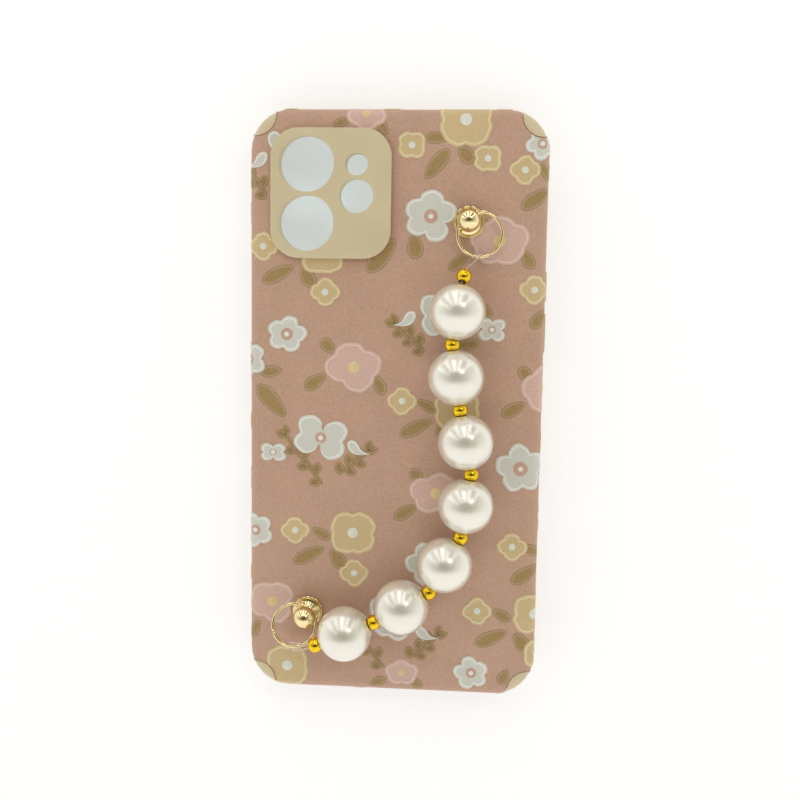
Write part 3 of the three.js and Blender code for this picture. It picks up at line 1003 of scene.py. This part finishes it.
def stud(node):
    """A ball on a thin neck over a dished base, with its bored post below."""
    low, high = corners(node)
    foot = Vector(((low.x + high.x) / 2, (low.y + high.y) / 2, high.z - STUD_HEIGHT)) * MM
    neck_angle = -math.degrees(math.acos((STUD_NECK + 0.05) / STUD_BALL))
    post_end = low.z - high.z + STUD_HEIGHT
    profile = [(0, STUD_BORE_TOP), (STUD_BORE, STUD_BORE_TOP), (STUD_BORE, post_end)]
    profile += [(STUD_POST, post_end), (STUD_POST, 0), (STUD_BASE - STUD_RIM, 0)]
    profile += arc(STUD_RIM, -90, 90, 8, (STUD_BASE - STUD_RIM, STUD_RIM_AT))
    profile += STUD_DISH + STUD_CONE
    profile += arc(STUD_BALL, neck_angle, 90, 40, (0, STUD_BALL_AT))[:-1]
    profile += [(0, STUD_HEIGHT)]
    mesh = lathe(node + "_turned", profile, 96, Matrix.Translation(foot))
    add_piece(node + "_turned", mesh, [pale_gold], CASE_BODY, [node])


stud("stud_upper")
stud("stud_lower")

# ---- Rings ----
RING_RADIUS = 5.575
RING_WIRE = 0.425
RING_GAP = 0.3
RING_JOINT = {"ring_upper": 2.94, "ring_lower": 2.66}  # turn of the wire's joint, in radians
CUT_END = (0.72, 0.9, 0.98)  # how the wire fills out from a cut end, which is slightly rounded off


def joint_named(name):
    return next(joint for joint in frame["joints"] if joint["name"] == name)


def ring(node, stud_node, joint_name):
    """An open hoop of wire whose two cut ends meet at a butt joint."""
    joint = joint_named(joint_name)
    centre = Vector(joint["pos_m"]) / MM
    normal = Vector(joint["axis"]).normalized()
    toward = centre - middle(stud_node)
    across = normal.cross(toward).normalized()
    down = across.cross(normal)
    steps = 180
    turn = 2 * math.pi - RING_GAP / RING_RADIUS
    points = []
    radii = []
    for i in range(steps + 1):
        angle = turn * (i / steps - 0.5) + RING_JOINT[node]
        points.append(centre + (down * math.cos(angle) + across * math.sin(angle)) * RING_RADIUS)
        radii.append(RING_WIRE)
    for k, share in enumerate(CUT_END):
        radii[k] *= share
        radii[-1 - k] *= share
    mesh = mesh_from(node + "_wire", *sweep(points, radii, 20))
    smooth(mesh)
    add_piece(node + "_wire", mesh, [pale_gold], joint["child"], [node])


ring("ring_upper", "stud_upper", "upper_ring_turn")
ring("ring_lower", "stud_lower", "lower_ring_turn")

# ---- Pearls and gold beads ----
PEARL_RADIUS = 7
PEARL_BORE = 1.5
PEARL_LIP = 0.25
BEAD_RADIUS = 1.95
BEAD_BORE = 0.78
BEAD_LIP = 0.12


def drilled_ball(name, radius, bore, lip, sides, place):
    """A ball with a bore, whose mouths are rounded over by lip."""
    mouth = math.degrees(math.acos((bore + lip) / radius))
    top = radius * math.sin(math.radians(mouth))
    rim = arc(lip, 55, 180, 5, (bore + lip, top - lip * 0.8))
    outside = arc(radius, -mouth, mouth, 44)
    profile = [(r, -z) for r, z in reversed(rim)] + outside + rim
    profile.append(profile[0])
    return lathe(name, profile, sides, place)


def strung_pieces():
    """Every pearl and gold bead, on its spin joint's centre and axis. Returns their names."""
    names = []
    bodies = frame["record"]["behaviour"]["bodies"]
    for joint in frame["joints"]:
        if not joint["name"].endswith("_spin"):
            continue
        node = bodies[joint["child"]][0]
        turn = Vector((0, 0, 1)).rotation_difference(Vector(joint["axis"])).to_matrix().to_4x4()
        place = Matrix.Translation(Vector(joint["pos_m"])) @ turn
        name = node + "_ball"
        if node.startswith("pearl"):
            mesh = drilled_ball(name, PEARL_RADIUS, PEARL_BORE, PEARL_LIP, 96, place)
            add_piece(name, mesh, [pearl_white], joint["child"], [node])
        else:
            mesh = drilled_ball(name, BEAD_RADIUS, BEAD_BORE, BEAD_LIP, 48, place)
            add_piece(name, mesh, [yellow_gold], joint["child"], [node])
        names.append(name)
    return names


# ---- The clear cord ----
CORD_DIAMETER = 0.5
CORD_ROUTE = [
    (16, 28.2, 18.05), (16.6, 32.3, 17.85), (17.1, 33.9, 16.9), (17.6, 35.45, 16),
    (19.05, 37, 13.7), (20.2, 38.35, 12.2), (20.65, 38.95, 11.95), (21.1, 39.65, 12.3),
    (21.3, 39.9, 13.1), (21.1, 39.65, 13.95), (20.6, 38.95, 14.4), (19.1, 37.25, 15.45),
    (17.7, 35.75, 16.55), (17.2, 34.2, 17.5), (16.7, 32.65, 18.4), (15.75, 25.35, 18.55),
    (14.7, 17.2, 18.55), (15.85, 9.1, 18.55), (17, 0.95, 18.55), (18.55, -7.1, 18.55),
    (20.1, -15.15, 18.55), (18.95, -23.25, 18.55), (17.85, -31.4, 18.55), (14, -38.6, 18.55),
    (10.15, -45.85, 18.55), (3.1, -50.1, 18.55), (-3.95, -54.3, 18.55), (-11.4, -57.65, 18.55),
    (-17.2, -59.85, 18.75), (-19.05, -60.65, 18.55), (-20.75, -61.4, 18.05), (-22.9, -61.35, 17.5),
    (-24.5, -61.45, 16.85), (-25.5, -61.65, 15.95), (-25.95, -62.1, 15.35), (-26.05, -62.75, 15.15),
    (-25.85, -63.4, 15.5), (-25.2, -63.65, 16.2), (-22.4, -62.8, 17.45), (-20.45, -62.05, 18.05),
    (-18.8, -61.3, 18.5), (-17.3, -60.7, 18.7), (-14.3, -59.3, 18.7),
]


def smooth_route(route, steps):
    """Points along the centripetal Catmull-Rom curve through the route."""
    points = [Vector(point) for point in route]
    points = [2 * points[0] - points[1], *points, 2 * points[-1] - points[-2]]
    path = []
    for before, start, end, after in zip(points, points[1:], points[2:], points[3:]):
        gaps = [
            math.sqrt((b - a).length)
            for a, b in ((before, start), (start, end), (end, after))
        ]
        leave = (start - before) / gaps[0] - (end - before) / (gaps[0] + gaps[1])
        leave = (leave + (end - start) / gaps[1]) * gaps[1]
        arrive = (end - start) / gaps[1] - (after - start) / (gaps[1] + gaps[2])
        arrive = (arrive + (after - end) / gaps[2]) * gaps[1]
        for i in range(steps):
            t = i / steps
            path.append(
                start * (2 * t ** 3 - 3 * t ** 2 + 1) + leave * (t ** 3 - 2 * t ** 2 + t)
                + end * (3 * t ** 2 - 2 * t ** 3) + arrive * (t ** 3 - t ** 2)
            )
    path.append(points[-2])
    return path


def make_cord(strung):
    """The clear cord along its route. strung, the names of the pieces that hang on it, is not used."""
    path = smooth_route(CORD_ROUTE, 10)
    data = bpy.data.curves.new("clear_cord", "CURVE")
    data.dimensions = "3D"
    data.bevel_depth = CORD_DIAMETER / 2 * MM
    data.bevel_resolution = 4
    data.use_fill_caps = True
    spline = data.splines.new("POLY")
    spline.points.add(len(path) - 1)
    for target, point in zip(spline.points, path):
        target.co = (*(point * MM), 1)
    data.materials.append(clear_elastic)
    cord = bpy.data.objects.new("clear_cord", data)
    bpy.context.collection.objects.link(cord)
    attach(cord, STRAND_BODY)
    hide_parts("elastic_cord")


make_cord(strung_pieces())


# ---- Floor, light and sky ----
FLOOR_HALF = 3  # metres
SHADE_PATCH_HALF = (0.033, 0.07)  # metres, the cooler, darker middle of the floor, which the case covers: painted shade
FLOOR_TONES = (  # name, colour and glow
    ("white", (0.62, 0.62, 0.62), 0.5),
    ("painted_shade_grey", (0.5, 0.55, 0.57), 0.4),
)


def make_floor():
    """A white floor. The part under the case, seen through the camera holes, is a darker, cooler grey: painted
    shade.
    """
    half_x, half_y = SHADE_PATCH_HALF
    xs = (-FLOOR_HALF, -half_x, half_x, FLOOR_HALF)
    ys = (-FLOOR_HALF, -half_y, half_y, FLOOR_HALF)
    points = [(x, y, 0) for y in ys for x in xs]
    faces = [(k, k + 1, k + 5, k + 4) for k in (0, 1, 2, 4, 5, 6, 8, 9, 10)]
    mesh = mesh_from("floor", points, faces)
    # the middle face, under the case, takes the painted shade
    mesh.polygons[4].material_index = 1
    for name, colour, glow in FLOOR_TONES:
        mesh.materials.append(new_material(
            f"floor_{name}", colour, 0.9, emission_color=(*colour, 1),
            emission_strength=glow / colour[0],
        ))
    floor = bpy.data.objects.new("floor", mesh)
    bpy.context.collection.objects.link(floor)


def area_light(name, place, size, radiance, colour, facing):
    """A soft rectangular light at place, in metres, that shines along facing."""
    data = bpy.data.lights.new(name, "AREA")
    data.shape = "RECTANGLE"
    data.size, data.size_y = size
    data.energy = radiance * math.pi * size[0] * size[1]
    data.color = colour
    light = bpy.data.objects.new(name, data)
    light.location = place
    light.rotation_euler = Vector(facing).to_track_quat("-Z", "Y").to_euler()
    light.visible_camera = False
    bpy.context.collection.objects.link(light)


WINDOW_DISTANCE = 1.5  # metres
WINDOW_HEIGHT = 2.6
WINDOWS = [  # azimuth from the camera end towards +X in degrees, width in metres, radiance
    (-60, 0.36, 0.85), (-33, 0.38, 1.35), (-8, 0.46, 1.9), (14, 0.34, 1.6), (42, 0.36, 0.9),
]
WINDOW_COLOUR = (0.94, 0.97, 1)
LAMP_PLACE = (0.56, 0.78, 1.15)  # metres
LAMP_SIZE = (0.36, 0.16)
LAMP_RADIANCE = 7
LAMP_COLOUR = (1, 0.97, 0.9)


def make_lights():
    """A row of tall windows round the camera end, and a lamp above it."""
    for k, (azimuth, width, radiance) in enumerate(WINDOWS):
        angle = math.radians(azimuth)
        out = Vector((math.sin(angle), math.cos(angle), 0))
        place = out * WINDOW_DISTANCE + Vector((0, 0, WINDOW_HEIGHT / 2))
        area_light(f"window_{k}", place, (width, WINDOW_HEIGHT), radiance, WINDOW_COLOUR, -out)
    lamp = Vector(LAMP_PLACE)
    area_light("lamp", lamp, LAMP_SIZE, LAMP_RADIANCE, LAMP_COLOUR, -lamp)


SKY = [  # how far a direction leans from straight up, as measured by SKY_SCALE, and its colour
    (0.16, (0.12, 0.095, 0.06)), (0.4, (0.36, 0.33, 0.26)), (0.62, (0.8, 0.84, 0.84)),
    (0.88, (1.0, 1.0, 1.0)),
]
SKY_SCALE = (0.62, 1.9, 0)
SKY_STRENGTH = 1.12


def make_sky():
    """A pale room, dark overhead and, between the windows, towards the camera end."""
    world = bpy.data.worlds.new("room")
    bpy.context.scene.world = world
    world.use_nodes = True
    nodes = world.node_tree.nodes
    links = world.node_tree.links
    direction = nodes.new("ShaderNodeTexCoord")
    near_side = nodes.new("ShaderNodeVectorMath")  # a lean towards the camera end counts for nothing
    near_side.operation = "MINIMUM"
    near_side.inputs[1].default_value = (2, 0, 0)
    stretch = nodes.new("ShaderNodeMapping")
    stretch.inputs["Scale"].default_value = SKY_SCALE
    measure = nodes.new("ShaderNodeVectorMath")
    measure.operation = "LENGTH"
    ramp = nodes.new("ShaderNodeValToRGB")
    stops = ramp.color_ramp.elements
    while len(stops) < len(SKY):
        stops.new(1)
    for stop, (lean, colour) in zip(stops, SKY):
        stop.position = lean
        stop.color = (*colour, 1)
    links.new(direction.outputs["Generated"], near_side.inputs[0])
    links.new(near_side.outputs["Vector"], stretch.inputs["Vector"])
    links.new(stretch.outputs["Vector"], measure.inputs[0])
    links.new(measure.outputs["Value"], ramp.inputs["Fac"])
    links.new(ramp.outputs["Color"], nodes["Background"].inputs["Color"])
    nodes["Background"].inputs["Strength"].default_value = SKY_STRENGTH


make_floor()
make_lights()
make_sky()
bpy.context.scene.view_settings.view_transform = "Standard"
